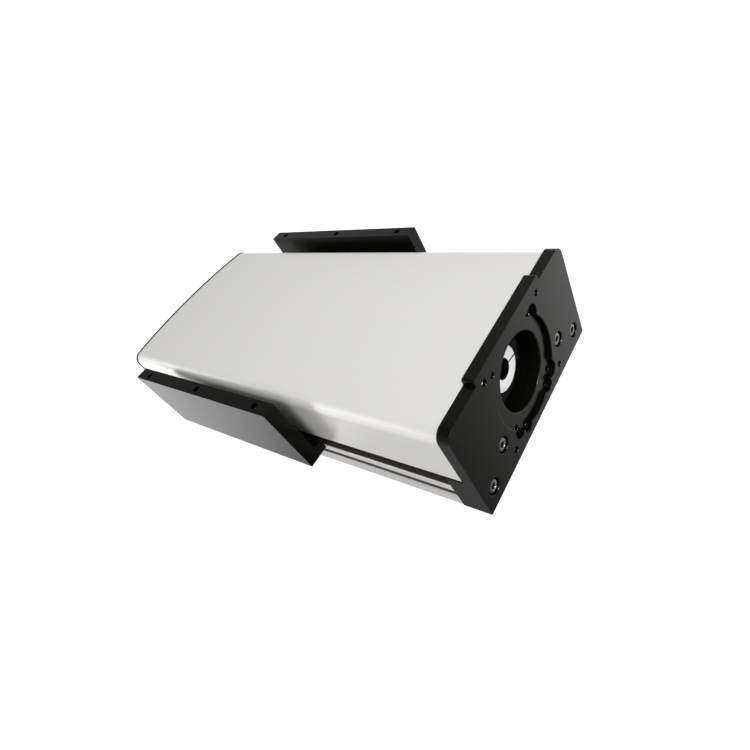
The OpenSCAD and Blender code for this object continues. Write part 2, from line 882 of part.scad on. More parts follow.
module ball_screw() {
    far_tip_x = far_inner_x - bearing_t - snap_t - journal_end;
    snap_x = far_inner_x - bearing_t - snap_t;
    color([0.75, 0.76, 0.77])
        difference() {
            union() {
                bar_x(far_inner_x, bearing_back_x - far_inner_x, screw_d);
                bar_x(far_tip_x, far_inner_x - far_tip_x + cut, journal_d);
                bar_x(bearing_back_x - cut, bearing_face_x + locknut_t - bearing_back_x + cut, journal_d);
                bar_x(bearing_face_x, screw_hub_x + hub_l - bearing_face_x, tail_d);
            }
            pipe_x(snap_x, snap_t, screw_d, journal_d - 2 * snap_groove);
        }
}

module bearing_housing() {
    half = housing_w / 2;
    foot = housing_foot_w / 2;
    color([0.3, 0.3, 0.31])
        difference() {
            along_x(housing_x, housing_l) {
                polygon([[-half, floor_t], [half, floor_t], [half, housing_top - housing_bevel],
                    [half - housing_bevel, housing_top], [-half + housing_bevel, housing_top],
                    [-half, housing_top - housing_bevel]]);
                translate([-foot, floor_t])
                    square([housing_foot_w, housing_foot_t]);
            }
            bar_x(bearing_face_x, plate_back_x - bearing_face_x + cut, chamber_d);
            bar_x(bearing_back_x, 2 * bearing_t + cut, bearing_d + 2 * fit_gap);
            bar_x(housing_x - cut, housing_wall + 2 * cut, screw_d + 2 * screw_room);
            for (turn = [45 : 90 : 315])
                bar_x(bearing_face_x - thread_l / 2, thread_l, m3_d, retainer_screw_r * cos(turn),
                    axis_h + retainer_screw_r * sin(turn));
            for (x = housing_screw_xs)
                for (side = [-1, 1])
                    translate([x, side * housing_foot_screw_y, floor_t - cut])
                        cylinder(d = m5_d + screw_clear, h = housing_foot_t + 2 * cut);
        }
}

module housing_screws() {
    color([0.2, 0.2, 0.2])
        for (x = housing_screw_xs)
            for (side = [-1, 1])
                translate([x, side * housing_foot_screw_y, floor_t + housing_foot_t + m5_head_h])
                    cap_screw(m5_d, small_head_d, m5_head_h, m5_socket_d, housing_foot_t + housing_thread_l);
}

module bearing_outer(x) {
    pipe_x(x, bearing_t, bearing_d, bearing_d - 2 * ring_t);
}

module bearing_inner(x) {
    pipe_x(x, bearing_t, journal_d + 2 * ring_t, journal_d + 2 * fit_gap);
}

module ball_set(x) {
    for (i = [0 : ball_count - 1])
        translate([x + bearing_t / 2, 0, axis_h])
            rotate([i * 360 / ball_count, 0, 0])
                translate([0, ball_ring_r, 0])
                    sphere(r = ball_r, $fn = 24);
}

module bearing_outer_rings() {
    color([0.6, 0.61, 0.63])
        for (x = [bearing_back_x, bearing_back_x + bearing_t])
            bearing_outer(x);
}

module bearing_inner_rings() {
    color([0.6, 0.61, 0.63])
        for (x = [bearing_back_x, bearing_back_x + bearing_t])
            bearing_inner(x);
}

module bearing_balls() {
    color([0.8, 0.8, 0.82])
        for (x = [bearing_back_x, bearing_back_x + bearing_t])
            ball_set(x);
}

module far_bearing_outer() {
    color([0.6, 0.61, 0.63])
        bearing_outer(far_inner_x - bearing_t);
}

module far_bearing_inner() {
    color([0.6, 0.61, 0.63])
        bearing_inner(far_inner_x - bearing_t);
}

module far_bearing_balls() {
    color([0.8, 0.8, 0.82])
        ball_set(far_inner_x - bearing_t);
}

module bearing_retainer() {
    color([0.3, 0.3, 0.31])
        difference() {
            pipe_x(bearing_face_x, retainer_t, chamber_d - 2 * fit_gap, retainer_bore_d);
            for (turn = [45 : 90 : 315])
                bar_x(bearing_face_x - cut, retainer_t + 2 * cut, m3_d + screw_clear,
                    retainer_screw_r * cos(turn), axis_h + retainer_screw_r * sin(turn));
        }
}

module retainer_screws() {
    color([0.2, 0.2, 0.2])
        for (turn = [45 : 90 : 315])
            translate([bearing_face_x + retainer_t + m3_head_h, retainer_screw_r * cos(turn),
                axis_h + retainer_screw_r * sin(turn)])
                rotate([0, 90, 0])
                    m3_screw(retainer_t + thread_l / 2 - cut);
}

module lock_nut() {
    color([0.15, 0.15, 0.15])
        difference() {
            pipe_x(bearing_face_x, locknut_t, locknut_d, journal_d + 2 * fit_gap);
            for (turn = [0 : 90 : 270])
                translate([bearing_face_x + locknut_t / 2, 0, axis_h])
                    rotate([turn, 0, 0])
                        translate([0, -locknut_d / 12, locknut_d / 2 - cut])
                            cube([locknut_t, locknut_d / 6, locknut_d]);
        }
}

module snap_ring() {
    x = far_inner_x - bearing_t - snap_t;
    inner_d = journal_d - 2 * snap_groove + 2 * fit_gap;
    color([0.15, 0.15, 0.15])
        difference() {
            pipe_x(x, snap_t, inner_d + 2 * snap_rise, inner_d);
            translate([x - cut, -journal_d / 6, axis_h])
                cube([snap_t + 2 * cut, journal_d / 3, journal_d]);
        }
}

// A wedge of a circle between two angles
module wedge(from, to) {
    r = coupling_d;
    polygon([[0, 0], [r * cos(from), r * sin(from)], [r * cos((from + to) / 2), r * sin((from + to) / 2)],
        [r * cos(to), r * sin(to)]]);
}

// Three jaws between the hubs
module jaws(x, l, turn) {
    translate([x, 0, axis_h])
        rotate([90, 0, 90])
            linear_extrude(l)
                for (i = [0 : jaw_count - 1])
                    intersection() {
                        difference() {
                            circle(d = coupling_d);
                            circle(r = jaw_inner_r);
                        }
                        wedge(turn + i * 360 / jaw_count - jaw_half, turn + i * 360 / jaw_count + jaw_half);
                    }
}

// Places its children on the clamping screw's axis, level with the slit
module clamp_axis(hub_x) {
    translate([hub_x + hub_l / 2, 0, axis_h])
        rotate([slit_turn, 0, 0])
            translate([0, clamp_screw_r, 0])
                children();
}

// A hub with a clamping slit; its jaws reach towards the other hub
module hub(x, bore, jaw_x, turn) {
    difference() {
        union() {
            bar_x(x, hub_l, coupling_d);
            jaws(jaw_x, jaw_l, turn);
        }
        bar_x(x - jaw_l - cut, hub_l + 2 * (jaw_l + cut), bore);
        translate([x - cut, 0, axis_h])
            rotate([slit_turn, 0, 0])
                translate([0, 0, -slit_w / 2])
                    cube([hub_l + 2 * cut, coupling_d, slit_w]);
        clamp_axis(x) {
            translate([0, 0, -coupling_d / 2])
                cylinder(d = m3_d, h = coupling_d);
            translate([0, 0, clamp_head_z - m3_head_h])
                cylinder(d = m3_head_d + screw_clear, h = coupling_d);
        }
    }
}

module coupling_screw_hub() {
    color([0.8, 0.8, 0.8])
        hub(screw_hub_x, tail_d + 2 * fit_gap, screw_hub_x + hub_l - fit_gap, 0);
}

module coupling_motor_hub() {
    color([0.8, 0.8, 0.8])
        hub(coupling_x - hub_l, shaft_d, coupling_x - hub_l - jaw_l + fit_gap, 180 / jaw_count);
}

module coupling_spider() {
    legs = 2 * jaw_count;
    color([0.75, 0.2, 0.12])
        translate([screw_hub_x + hub_l + jaw_gap, 0, axis_h])
            rotate([90, 0, 90])
                linear_extrude(jaw_l - 2 * jaw_gap)
                    difference() {
                        union() {
                            circle(r = jaw_inner_r - jaw_gap);
                            for (i = [0 : legs - 1])
                                intersection() {
                                    circle(d = coupling_d);
                                    rotate((i + 0.5) * 360 / legs)
                                        wedge(-leg_half, leg_half);
                                }
                        }
                        circle(r = spider_bore_r);
                    }
}

module clamp_screws() {
    color([0.2, 0.2, 0.2])
        for (x = [screw_hub_x, coupling_x - hub_l])
            clamp_axis(x)
                translate([0, 0, clamp_head_z])
                    m3_screw(clamp_screw_l);
}

module bumper_pair(x) {
    color([0.12, 0.12, 0.12])
        for (side = [-1, 1])
            bar_x(x, bumper_t, bumper_d, side * bumper_y, bumper_z);
}

base_profile();
motor_end_plate();
far_end_plate();
top_cover();
slot_strip(-1);  // slot_strip_left
slot_strip(1);  // slot_strip_right
guide_rail(-1);  // guide_rail_left
guide_rail(1);  // guide_rail_right
rail_screws();
bearing_housing();
housing_screws();
bearing_outer_rings();
bearing_retainer();
retainer_screws();
far_bearing_outer();
motor_plate_screws();
far_plate_screws();
bumper_pair(plate_back_x - bumper_t);  // bumpers_motor_end
bumper_pair(far_inner_x);  // bumpers_far_end
saddle();
wing(-1);  // wing_left
wing(1);  // wing_right
wing_bolts();
guide_block(1, -1);  // guide_block_motor_left
guide_block(1, 1);  // guide_block_motor_right
guide_block(-1, -1);  // guide_block_far_left
guide_block(-1, 1);  // guide_block_far_right
block_end_caps();
block_seals();
block_screws();
grease_nipples();
nut_bracket();
bracket_screws();
ball_nut();
nut_screws();
ball_screw();
bearing_inner_rings();
bearing_balls();
lock_nut();
far_bearing_inner();
far_bearing_balls();
snap_ring();
coupling_screw_hub();
coupling_spider();
coupling_motor_hub();
clamp_screws();
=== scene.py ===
import json
import math

import bmesh
import bpy
from mathutils import Euler, Matrix, Vector

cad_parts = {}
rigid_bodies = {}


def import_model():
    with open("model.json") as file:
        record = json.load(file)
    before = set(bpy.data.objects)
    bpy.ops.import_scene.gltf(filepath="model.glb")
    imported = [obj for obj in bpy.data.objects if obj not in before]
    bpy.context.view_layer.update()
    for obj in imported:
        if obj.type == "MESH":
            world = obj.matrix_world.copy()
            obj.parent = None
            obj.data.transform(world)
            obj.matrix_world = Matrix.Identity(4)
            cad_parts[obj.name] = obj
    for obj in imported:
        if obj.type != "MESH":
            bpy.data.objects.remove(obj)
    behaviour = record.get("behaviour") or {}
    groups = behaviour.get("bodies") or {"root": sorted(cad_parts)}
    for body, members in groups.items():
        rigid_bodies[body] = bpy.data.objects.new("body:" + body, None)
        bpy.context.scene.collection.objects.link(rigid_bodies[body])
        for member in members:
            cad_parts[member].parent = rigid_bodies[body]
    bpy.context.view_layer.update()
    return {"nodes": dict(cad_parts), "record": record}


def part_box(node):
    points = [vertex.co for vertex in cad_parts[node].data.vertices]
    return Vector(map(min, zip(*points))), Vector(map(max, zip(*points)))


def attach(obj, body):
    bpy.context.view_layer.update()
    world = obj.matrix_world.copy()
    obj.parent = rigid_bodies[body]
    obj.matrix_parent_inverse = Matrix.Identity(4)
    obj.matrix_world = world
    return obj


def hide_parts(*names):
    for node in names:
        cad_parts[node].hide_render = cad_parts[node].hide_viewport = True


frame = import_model()
nodes = frame["nodes"]
record = frame["record"]
MM = 0.001
FULL_TURN = 2.0 * math.pi

# ---- finishes -------------------------------------------------------------

NOISE_MIDDLE = (0.3, 0.7)
NOISE_DETAIL = 2.0
QUARTER_TURN = 0.25
SMOOTHER_BY = 0.04
ROUGHER_BY = 0.05


class Finish:
    """A node material on the Principled shader, with helpers for its patterns."""

    def __init__(self, name, colour, metal, rough, specular=0.5):
        self.material = bpy.data.materials.new(name)
        self.material.use_nodes = True
        self.tree = self.material.node_tree
        self.shader = self.tree.nodes["Principled BSDF"]
        self.set("Base Color", (*colour, 1.0))
        self.set("Metallic", metal)
        self.set("Roughness", rough)
        self.set("Specular IOR Level", specular)

    def set(self, socket, value):
        self.shader.inputs[socket].default_value = value

    def noise(self, cells_per_metre):
        """Noise in the piece's own coordinates, its cells counted along X, Y and Z."""
        place = self.tree.nodes.new("ShaderNodeTexCoord")
        mapping = self.tree.nodes.new("ShaderNodeMapping")
        mapping.inputs["Scale"].default_value = cells_per_metre
        noise = self.tree.nodes.new("ShaderNodeTexNoise")
        noise.inputs["Scale"].default_value = 1.0
        noise.inputs["Detail"].default_value = NOISE_DETAIL
        self.tree.links.new(place.outputs["Object"], mapping.inputs["Vector"])
        self.tree.links.new(mapping.outputs["Vector"], noise.inputs["Vector"])
        return noise.outputs["Fac"]

    def spread(self, noise, low, high):
        """A noise's middle range mapped to low..high."""
        ramp = self.tree.nodes.new("ShaderNodeMapRange")
        ramp.inputs["From Min"].default_value = NOISE_MIDDLE[0]
        ramp.inputs["From Max"].default_value = NOISE_MIDDLE[1]
        ramp.inputs["To Min"].default_value = low
        ramp.inputs["To Max"].default_value = high
        self.tree.links.new(noise, ramp.inputs["Value"])
        return ramp.outputs["Result"]

    def brushed_along_x(self, amount):
        """Reflections stay sharp along X and spread across it."""
        along = self.tree.nodes.new("ShaderNodeCombineXYZ")
        along.inputs["X"].default_value = 1.0
        self.tree.links.new(along.outputs["Vector"], self.shader.inputs["Tangent"])
        self.set("Anisotropic", amount)
        self.set("Anisotropic Rotation", QUARTER_TURN)

    def rough_from(self, noise, low, high):
        self.tree.links.new(self.spread(noise, low, high), self.shader.inputs["Roughness"])

    def tint_from(self, noise, dark, light):
        mix = self.tree.nodes.new("ShaderNodeMix")
        mix.data_type = "RGBA"
        mix.inputs["A"].default_value = (*dark, 1.0)
        mix.inputs["B"].default_value = (*light, 1.0)
        self.tree.links.new(self.spread(noise, 0.0, 1.0), mix.inputs["Factor"])
        self.tree.links.new(mix.outputs["Result"], self.shader.inputs["Base Color"])


def brushed_cover():
    """Satin anodised sheet with fine brushing along the travel."""
    cover = Finish("brushed anodised cover", (0.85, 0.845, 0.835), metal=0.62, rough=0.32)
    cover.brushed_along_x(0.95)
    fine_lines = cover.noise((9, 900, 900))
    broad_lines = cover.noise((4, 90, 90))
    cover.rough_from(broad_lines, 0.30, 0.33)
    cover.tint_from(fine_lines, (0.846, 0.838, 0.818), (0.86, 0.852, 0.832))
    return cover.material


def extruded_base():
    """Natural anodised extrusion with faint die lines along its length."""
    base = Finish("natural anodised base", (0.80, 0.79, 0.775), metal=0.7, rough=0.4)
    die_lines = base.noise((6, 900, 900))
    base.rough_from(die_lines, 0.37, 0.43)
    base.tint_from(die_lines, (0.78, 0.77, 0.755), (0.82, 0.81, 0.795))
    return base.material


def black_anodised(name, rough=0.24, specular=0.25):
    """Deep black anodising with a slightly warm sheen and a fine grain."""
    black = Finish(name, (0.0007, 0.0007, 0.0005), metal=0.0, rough=rough, specular=specular)
    black.set("Specular Tint", (1.0, 0.94, 0.86, 1.0))
    black.rough_from(black.noise((900, 900, 900)), rough - 0.02, rough + 0.03)
    return black.material


def turned(name, colour, rough):
    """Bare machined metal, its roughness varying in rings round X."""
    metal = Finish(name, colour, metal=1.0, rough=rough)
    metal.rough_from(metal.noise((120, 500, 500)), rough - SMOOTHER_BY, rough + ROUGHER_BY)
    return metal.material


def plain(name, colour, rough, metal=0.0, specular=0.5):
    """An even surface with a fine grain."""
    even = Finish(name, colour, metal, rough, specular)
    even.rough_from(even.noise((500, 500, 500)), rough - SMOOTHER_BY, rough + ROUGHER_BY)
    return even.material


finish = {
    "brushed_cover": brushed_cover(),
    "black_plate": black_anodised("black anodised plate"),
    "anodised_base": extruded_base(),
    "black_strip": plain("matt black strip", (0.03, 0.027, 0.023), rough=0.6, specular=0.3),
    "ground_steel": turned("ground guide steel", (0.58, 0.58, 0.58), rough=0.26),
    "dark_housing": plain("blackened housing", (0.05, 0.05, 0.052), rough=0.42, metal=0.6),
    "bearing_steel": turned("polished bearing steel", (0.66, 0.66, 0.67), rough=0.14),
    "bumper_rubber": plain("bumper rubber", (0.02, 0.02, 0.02), rough=0.75, specular=0.3),
    "milled_aluminium": turned("milled saddle aluminium", (0.72, 0.72, 0.715), rough=0.3),
    "block_steel": turned("ground block steel", (0.5, 0.5, 0.51), rough=0.3),
    "green_plastic": plain("green end cap plastic", (0.02, 0.11, 0.06), rough=0.42),
    "seal_rubber": plain("seal rubber", (0.015, 0.015, 0.015), rough=0.6, specular=0.35),
    "nipple_brass": turned("nipple brass", (0.78, 0.6, 0.28), rough=0.24),
    "black_steel": plain("black oxide steel", (0.035, 0.034, 0.033), rough=0.34, metal=0.75),
    "coupling_aluminium": plain("turned coupling aluminium", (0.92, 0.915, 0.91), rough=0.4, metal=0.05),
    "spider_elastomer": plain("dark spider elastomer", (0.03, 0.03, 0.03), rough=0.5),
    "black_screws": plain("black oxide screws", (0.24, 0.235, 0.23), rough=0.26, metal=0.9),
}
# Painted shade: the walls of the plate's bore, recess, pockets and holes get a far dimmer, rougher sheen
# than its face
painted_shade_hole_wall = black_anodised("painted shade on black anodised hole walls", rough=0.5, specular=0.04)
# Painted shade: the walls of the hub's shaft bore and slit are coloured dark for the shade inside them
painted_shade_hub_wall = turned("painted shade on the hub bore wall", (0.16, 0.145, 0.14), rough=0.4)
# Painted shade: the tapped threads, bare metal, are coloured near-black for the shade deep in the holes
painted_shade_thread = turned("tapped thread darkened as painted shade", (0.05, 0.049, 0.048), rough=0.42)
# Painted shade: the walls and floor of a screw's hexagon socket are coloured near-black
painted_shade_socket = plain("painted shade in a screw socket", (0.012, 0.011, 0.01), rough=0.5, specular=0.1)

slot_of = {part["node"]: part["material_slot"] for part in record["subparts"]}
body_of = {}
for body, members in record["behaviour"]["bodies"].items():
    for member in members:
        body_of[member] = body
for name, node in nodes.items():
    node.data.materials.clear()
    node.data.materials.append(finish[slot_of[name]])

# ---- pieces with broken edges -----------------------------------------------

AXIS_Z = record["behaviour"]["joints"][1]["pos_m"][2]
# A face looks across the axis when the X of its normal is below this
ACROSS_THE_AXIS = 0.3
SAME_POINT = 0.002 * MM
SAME_FACE = math.radians(0.3)
BROKEN_EDGE_ANGLE = math.radians(40.0)
BEVEL_SEGMENTS = 2


def place_piece(name, bm, slot_name, body, *stands_for, sharp=35.0):
    """Makes a bmesh a piece of a body, in place of CAD nodes.

    Its faces are shaded smooth, apart from edges sharper than an angle in degrees.
    """
    mesh = bpy.data.meshes.new(name)
    bm.to_mesh(mesh)
    bm.free()
    mesh.shade_smooth()
    mesh.set_sharp_from_angle(angle=math.radians(sharp))
    piece = bpy.data.objects.new(name, mesh)
    bpy.context.scene.collection.objects.link(piece)
    mesh.materials.append(finish[slot_name])
    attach(piece, body)
    if stands_for:
        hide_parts(*stands_for)
    return piece


def merged_copy(node):
    """A bmesh of a CAD node with its loose triangles joined and its flat faces made whole."""
    bm = bmesh.new()
    bm.from_mesh(nodes[node].data)
    bmesh.ops.remove_doubles(bm, verts=bm.verts, dist=SAME_POINT)
    bmesh.ops.dissolve_limit(bm, angle_limit=SAME_FACE, verts=bm.verts, edges=bm.edges,
                             use_dissolve_boundaries=False)
    return bm


def countersink(bm, mouths):
    """Chamfers round rims across X: each mouth has its place, its radius and its chamfer."""
    off_plane = 0.02 * MM
    off_round = 0.04 * MM
    for (x, y, z), radius, width in mouths:
        rim = [edge for edge in bm.edges
               if all(abs(vert.co.x - x) < off_plane
                      and abs(math.hypot(vert.co.y - y, vert.co.z - z) - radius) < off_round
                      for vert in edge.verts)]
        bmesh.ops.bevel(bm, geom=rim, offset=width, segments=BEVEL_SEGMENTS, profile=0.5,
                        affect="EDGES", material=-1)


def eased(node, width, turn=0.0, painted_shade_material=None, takes_painted_shade=None, mouths=()):
    """Stands for a CAD node with its machined edges broken by a small bevel, its width in mm.

    turn is an angle in degrees round the screw's axis. The faces picked out by the given test take a
    second, darker material that paints the shade inside bores, holes and slits. The mouths are
    countersunk.
    """
    bm = merged_copy(node)
    countersink(bm, mouths)
    if turn:
        bmesh.ops.rotate(bm, verts=bm.verts, cent=(0.0, 0.0, AXIS_Z),
                         matrix=Matrix.Rotation(math.radians(turn), 3, "X"))
    if painted_shade_material:
        # The faces picked out take the painted shade material
        bm.normal_update()
        for face in bm.faces:
            face.material_index = int(takes_painted_shade(face))
    piece = place_piece(node + "_eased", bm, slot_of[node], body_of[node], node)
    if painted_shade_material:
        piece.data.materials.append(painted_shade_material)
    bevel = piece.modifiers.new("broken edges", "BEVEL")
    bevel.width = width * MM
    bevel.segments = BEVEL_SEGMENTS
    bevel.limit_method = "ANGLE"
    bevel.angle_limit = BROKEN_EDGE_ANGLE
    bevel.miter_outer = "MITER_ARC"
    bevel.harden_normals = True
    bevel.use_clamp_overlap = True
    weighted = piece.modifiers.new("flat faces stay flat", "WEIGHTED_NORMAL")
    weighted.keep_sharp = True


for node, width in {
    "far_end_plate": 0.35, "wing_left": 0.3, "wing_right": 0.3, "base_profile": 0.2,
    "top_cover": 0.3, "saddle": 0.4, "bearing_housing": 0.4, "guide_rail_left": 0.25,
    "guide_rail_right": 0.25, "nut_bracket": 0.4, "ball_nut": 0.5, "lock_nut": 0.4,
    "guide_block_motor_left": 0.3, "guide_block_motor_right": 0.3, "bearing_retainer": 0.3,
    "guide_block_far_left": 0.3, "guide_block_far_right": 0.3, "block_end_caps": 0.5,
    "bumpers_motor_end": 0.8, "bumpers_far_end": 0.8, "grease_nipples": 0.4,
}.items():
    eased(node, width)

# ---- motor plate and its holes ----------------------------------------------

# Tapping drill and pitch of the metric threads
M4_TAPPED = (3.3 * MM, 0.7 * MM)
M5_TAPPED = (4.2 * MM, 0.8 * MM)
M6_TAPPED = (5.0 * MM, 1.0 * MM)

RECESS_DEPTH = 3.0 * MM
RECESS_R = 35.0 * MM
PILOT_R = 25.0 * MM
BOLT_CIRCLE_R = 35.0 * MM
LOW_PAIR = (16.5 * MM, -31.0 * MM)
ADAPTER_HOLES = (35.5 * MM, 31.5 * MM)
PLATE_SCREWS = ((43.0 * MM, 25.0 * MM), (64.0 * MM, 12.5 * MM))
COUNTERBORE_R = 5.3 * MM
POCKET_HOLE_DEPTH = 12.0 * MM
ADAPTER_HOLE_DEPTH = 10.0 * MM
HOLE_CHAMFER = 0.35 * MM
PILOT_CHAMFER = 0.8 * MM
RECESS_CHAMFER = 0.7 * MM
COUNTERBORE_CHAMFER = 0.5 * MM

front_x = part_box("motor_end_plate")[1][0]
recess_x = front_x - RECESS_DEPTH
into_plate = Vector((-1.0, 0.0, 0.0))

# Each hole: mouth, way in, depth, drill and pitch
plate_holes = []
for quarter in range(4):
    turn = math.radians(45.0 + 90.0 * quarter)
    spot = (recess_x, BOLT_CIRCLE_R * math.cos(turn), AXIS_Z + BOLT_CIRCLE_R * math.sin(turn))
    plate_holes.append((spot, into_plate, POCKET_HOLE_DEPTH, *M5_TAPPED))
for side in (-1.0, 1.0):
    spot = (recess_x, side * LOW_PAIR[0], AXIS_Z + LOW_PAIR[1])
    plate_holes.append((spot, into_plate, POCKET_HOLE_DEPTH, *M4_TAPPED))
    for rise in (-1.0, 1.0):
        spot = (front_x, side * ADAPTER_HOLES[0], AXIS_Z + rise * ADAPTER_HOLES[1])
        plate_holes.append((spot, into_plate, ADAPTER_HOLE_DEPTH, *M5_TAPPED))

# Each mouth: place, radius and chamfer
plate_mouths = [(spot, drill / 2.0, HOLE_CHAMFER) for spot, way, depth, drill, pitch in plate_holes]
plate_mouths.append(((recess_x, 0.0, AXIS_Z), PILOT_R, PILOT_CHAMFER))
plate_mouths.append(((front_x, 0.0, AXIS_Z), RECESS_R, RECESS_CHAMFER))
for side in (-1.0, 1.0):
    for y, z in PLATE_SCREWS:
        plate_mouths.append(((front_x, side * y, z), COUNTERBORE_R, COUNTERBORE_CHAMFER))


# The part of the plate inside its outline
PLATE_BACK_X = 150.5 * MM
INSIDE_Y = 74.0 * MM
INSIDE_Z = (1.0 * MM, 74.5 * MM)


def plate_inner_wall(face):
    """True for the walls of the bore, recess, pockets and holes of the motor plate, which take the
    painted shade.
    """
    middle = face.calc_center_median()
    return (abs(face.normal.x) < ACROSS_THE_AXIS and middle.x > PLATE_BACK_X
            and abs(middle.y) < INSIDE_Y and INSIDE_Z[0] < middle.z < INSIDE_Z[1])


# The inner walls of the plate take the painted shade
eased("motor_end_plate", 0.35, painted_shade_material=painted_shade_hole_wall, takes_painted_shade=plate_inner_wall,
      mouths=plate_mouths)

# ---- coupling ---------------------------------------------------------------

COUPLING_TURN = -48.0
HUB_INSIDE_R = 14.4 * MM


def hub_wall(face):
    """True for the walls of the shaft bore and the clamping slit of a coupling hub, which take the
    painted shade.
    """
    middle = face.calc_center_median() - Vector((0.0, 0.0, AXIS_Z))
    return abs(face.normal.x) < ACROSS_THE_AXIS and math.hypot(middle.y, middle.z) < HUB_INSIDE_R


for node in ("coupling_motor_hub", "coupling_screw_hub"):
    # The bore and slit walls of the hubs take the painted shade
    eased(node, 0.25, turn=COUPLING_TURN, painted_shade_material=painted_shade_hub_wall, takes_painted_shade=hub_wall)
eased("coupling_spider", 0.1, turn=COUPLING_TURN)
eased("clamp_screws", 0.2, turn=COUPLING_TURN)

# ---- cap screws -------------------------------------------------------------

# Thread, head height and hexagon socket across its corners
M3_CAP = (3.0 * MM, 3.0 * MM, 2.8 * MM)
M4_CAP = (4.0 * MM, 4.0 * MM, 3.4 * MM)
M5_CAP = (5.0 * MM, 5.0 * MM, 4.6 * MM)


def fresh(made, kind):
    return [part for part in made["geom"] if isinstance(part, kind)]


def next_ring(bm, edges, radius, z):
    """Extrudes a ring round Z to its next radius and height."""
    made = bmesh.ops.extrude_edge_only(bm, edges=edges)
    verts = set(fresh(made, bmesh.types.BMVert))
    for vert in verts:
        flat = vert.co.to_2d()
        flat *= radius / flat.length
        vert.co = (flat.x, flat.y, z)
    return [edge for edge in fresh(made, bmesh.types.BMEdge) if verts.issuperset(edge.verts)]


def hexagon_socket(bm, corner_r, mouth, depth):
    """A blind hexagon hole sunk by its mouth below the origin; gives its open rim and its faces."""
    bmesh.ops.create_circle(bm, segments=6, radius=corner_r)
    bmesh.ops.translate(bm, verts=bm.verts, vec=(0.0, 0.0, -mouth))
    bmesh.ops.subdivide_edges(bm, edges=bm.edges[:], cuts=3)
    rim = bm.edges[:]
    floor = bmesh.ops.extrude_edge_only(bm, edges=rim)
    floor_verts = fresh(floor, bmesh.types.BMVert)
    bmesh.ops.translate(bm, verts=floor_verts, vec=(0.0, 0.0, mouth - depth))
    floor_edges = [edge for edge in fresh(floor, bmesh.types.BMEdge)
                   if set(floor_verts).issuperset(edge.verts)]
    bmesh.ops.contextual_create(bm, geom=floor_edges)
    return rim, set(bm.faces)


def screw_steps(thread_d, head_d, head_h, across, length):
    """Radius and height of each ring of a cap screw, from its socket down to its tip."""
    head_r = head_d / 2.0
    chamfer = 0.09 * head_d
    thread_r = thread_d / 2.0 - 0.05 * MM
    steps = [(across / 2.0 + 0.2 * MM, 0.0), (head_r - chamfer, 0.0),
             (head_r - 0.3 * chamfer, -0.3 * chamfer), (head_r, -chamfer),
             (head_r, -head_h + 0.1 * MM), (head_r - 0.1 * MM, -head_h), (thread_r, -head_h)]
    pitch = 0.16 * thread_d
    tip = -head_h - length
    lowest_groove = tip + 0.1 * thread_d
    grooves = int(min(length * 0.7, 2.2 * thread_d) / pitch)
    for groove in range(grooves, 0, -1):
        z = lowest_groove + groove * pitch
        steps += [(thread_r, z), (thread_r - 0.5 * pitch, z - 0.5 * pitch)]
    return steps + [(thread_r, lowest_groove), (thread_r - 0.1 * thread_d, tip)]


def socket_screw(thread_d, head_d, head_h, across, length):
    """A socket head screw hanging from the origin: chamfered head, hexagon socket, thread."""
    bm = bmesh.new()
    ring, socket_faces = hexagon_socket(bm, across / 2.0, mouth=0.3 * MM, depth=0.6 * head_h)
    for radius, z in screw_steps(thread_d, head_d, head_h, across, length):
        ring = next_ring(bm, ring, radius, z)
    bmesh.ops.contextual_create(bm, geom=ring)
    # The socket's walls and floor take the second material, the painted shade
    for face in bm.faces:
        face.material_index = int(face in socket_faces)
    bmesh.ops.recalc_face_normals(bm, faces=bm.faces)
    mesh = bpy.data.meshes.new("screw pattern")
    bm.to_mesh(mesh)
    bm.free()
    return mesh


def separate_solids(bm):
    """The vertices of each loose solid of a mesh, in the mesh's own order."""
    reached = set()
    for first in bm.verts:
        if first in reached:
            continue
        reached.add(first)
        solid, waiting = [], [first]
        while waiting:
            vert = waiting.pop()
            solid.append(vert)
            for edge in vert.link_edges:
                other = edge.other_vert(vert)
                if other not in reached:
                    reached.add(other)
                    waiting.append(other)
        yield solid


def dressed_screws(node, thread_d, head_h, across):
    """Stands for a node of cap screws with a detailed screw in the place of each of them."""
    source = merged_copy(node)
    pieces = bmesh.new()
    pattern = None
    for solid in separate_solids(source):
        low = Vector(min(vert.co[i] for vert in solid) for i in range(3))
        high = Vector(max(vert.co[i] for vert in solid) for i in range(3))
        size, middle = high - low, (high + low) / 2.0
        along = max(range(3), key=lambda i: size[i])
        head_d = min(size)
        across_only = Vector(i != along for i in range(3))
        head_heights = [vert.co[along] for vert in solid
                        if ((vert.co - middle) * across_only).length > 0.45 * head_d]
        up = 1.0 if sum(head_heights) / len(head_heights) > middle[along] else -1.0
        if pattern is None:
            pattern = socket_screw(thread_d, head_d, head_h, across, size[along] - head_h)
        top = middle.copy()
        top[along] += up * size[along] / 2.0
        way = Vector((0.0, 0.0, 0.0))
        way[along] = up
        known = len(pieces.verts)
        pieces.from_mesh(pattern)
        pieces.verts.ensure_lookup_table()
        stand = Vector((0.0, 0.0, 1.0)).rotation_difference(way).to_matrix().to_4x4()
        bmesh.ops.transform(pieces, verts=pieces.verts[known:], matrix=Matrix.Translation(top) @ stand)
    source.free()
    bpy.data.meshes.remove(pattern)
    piece = place_piece(node + "_dressed", pieces, slot_of[node], body_of[node], node, sharp=25.0)
    # The sockets of the screws take the painted shade
    piece.data.materials.append(painted_shade_socket)


for node, size in {
    "motor_plate_screws": M5_CAP, "far_plate_screws": M5_CAP, "wing_bolts": M5_CAP,
    "bracket_screws": M5_CAP, "nut_screws": M5_CAP, "housing_screws": M5_CAP,
    "rail_screws": M4_CAP, "block_screws": M4_CAP, "retainer_screws": M3_CAP,
}.items():
    dressed_screws(node, *size)

# ---- tapped threads ---------------------------------------------------------

